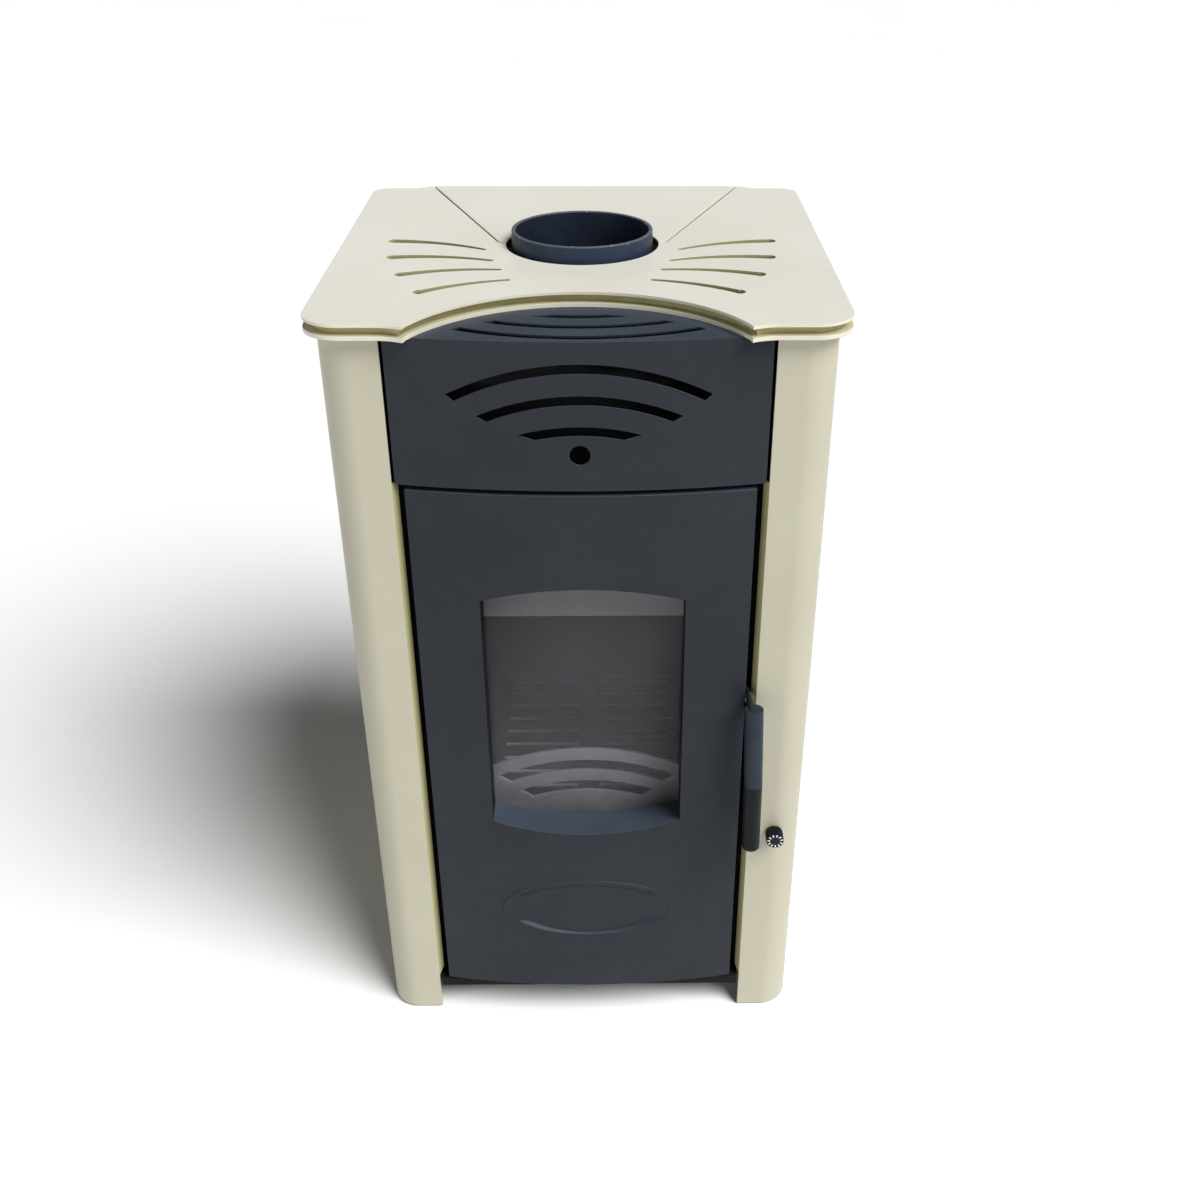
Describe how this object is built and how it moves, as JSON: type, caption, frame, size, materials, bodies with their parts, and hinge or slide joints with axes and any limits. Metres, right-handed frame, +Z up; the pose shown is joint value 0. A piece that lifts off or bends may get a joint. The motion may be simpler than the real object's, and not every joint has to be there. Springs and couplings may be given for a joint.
{
  "type": "central heating stove",
  "caption": "Upright solid-fuel central heating stove with a bowed glazed door, slotted upper panel, double top plate, flue collar and a water-jacketed firebox.",
  "frame": {"origin": "on the floor, under the middle of the object's bounding box", "axes": "+X to the right as seen from the front, +Y to the back, +Z up"},
  "size_m": [0.512, 0.576, 0.891],
  "materials": {
    "cream_enamel": "satin enamel",
    "anthracite_paint": "fine matt stove paint",
    "boiler_paint": "matt heat-proof paint",
    "casing_paint": "matt",
    "cast_iron": "raw casting",
    "zinc_steel": "zinc plated",
    "socket_steel": "turned steel",
    "brass": "turned",
    "grip_paint": "satin",
    "knob_plastic": "moulded",
    "regulator_plastic": "moulded",
    "sheet_steel": "rolled sheet",
    "rope_fibre": "knitted glass fibre",
    "stove_glass": "clear ceramic glass"
  },
  "bodies": {
    "stove": {"top_plate_upper": "cream_enamel", "top_plate_lower": "cream_enamel", "side_panel_left": "cream_enamel", "side_panel_right": "cream_enamel", "top_spacer_frame": "cream_enamel", "seam_supports": "cream_enamel", "upper_front_panel": "anthracite_paint", "jacket_side_left": "boiler_paint", "jacket_side_right": "boiler_paint", "jacket_rear": "boiler_paint", "jacket_top": "boiler_paint", "jacket_floor": "boiler_paint", "firebox_side_left": "boiler_paint", "firebox_side_right": "boiler_paint", "firebox_rear": "boiler_paint", "firebox_roof": "boiler_paint", "boiler_front_plate": "boiler_paint", "flue_collar": "boiler_paint", "base_plate": "boiler_paint", "catch_bracket": "boiler_paint", "air_inlet_duct": "boiler_paint", "baffle_ledges": "boiler_paint", "grate_rails": "boiler_paint", "hinge_brackets": "boiler_paint", "rear_panel": "casing_paint", "grate": "cast_iron", "log_guard": "cast_iron", "flue_baffle": "cast_iron", "hinge_pins": "zinc_steel", "catch_pin": "zinc_steel", "flap_hinge_pin": "zinc_steel", "rear_panel_screws": "zinc_steel", "flue_flange_bolts": "zinc_steel", "levelling_feet": "zinc_steel", "flow_socket": "socket_steel", "return_socket": "socket_steel", "drain_socket": "socket_steel", "drain_plug": "brass", "spindle_bush": "brass", "air_regulator_housing": "regulator_plastic", "ash_pan": "sheet_steel", "ash_pan_handle": "sheet_steel", "flue_seal": "rope_fibre"},
    "door": {"door_skin": "anthracite_paint", "window_surround": "anthracite_paint", "glass_seal": "rope_fibre", "window_glass": "stove_glass", "glass_clips": "zinc_steel", "glass_clip_screws": "zinc_steel", "door_inner_frame": "boiler_paint", "door_gasket": "rope_fibre", "gasket_retainers": "zinc_steel", "door_hinge_lugs": "boiler_paint", "handle_pivot_pin": "zinc_steel"},
    "handle": {"handle_lever": "grip_paint", "handle_grip": "grip_paint"},
    "knob": {"air_knob": "knob_plastic", "knob_spindle": "zinc_steel"},
    "flap": {"air_flap": "sheet_steel"},
    "insert": {"top_rear_insert": "cream_enamel"}
  },
  "joints": [
    {"name": "door_hinge", "type": "hinge", "parent": "stove", "child": "door", "pos_m": [-0.16, -0.227, 0.38], "axis": [0, 0, -1], "range_deg": [0, 100]},
    {"name": "handle_pivot", "type": "hinge", "parent": "door", "child": "handle", "pos_m": [0.1775, -0.231, 0.458], "axis": [-1, 0, 0], "range_deg": [0, 35]},
    {"name": "knob_turn", "type": "hinge", "parent": "stove", "child": "knob", "pos_m": [0.214, -0.237, 0.278], "axis": [0, 1, 0], "range_deg": [0, 270]},
    {"name": "flap_swing", "type": "hinge", "parent": "stove", "child": "flap", "pos_m": [0.214, -0.147, 0.158], "axis": [0, -1, 0], "range_deg": [0, 18]},
    {"name": "insert_lift", "type": "slide", "parent": "stove", "child": "insert", "axis": [0, 0, 1], "range_m": [0, 0.04]}
  ],
  "couplings": [
    {"joint": "flap_swing", "follows": "knob_turn", "ratio": 0.0666}
  ]
}
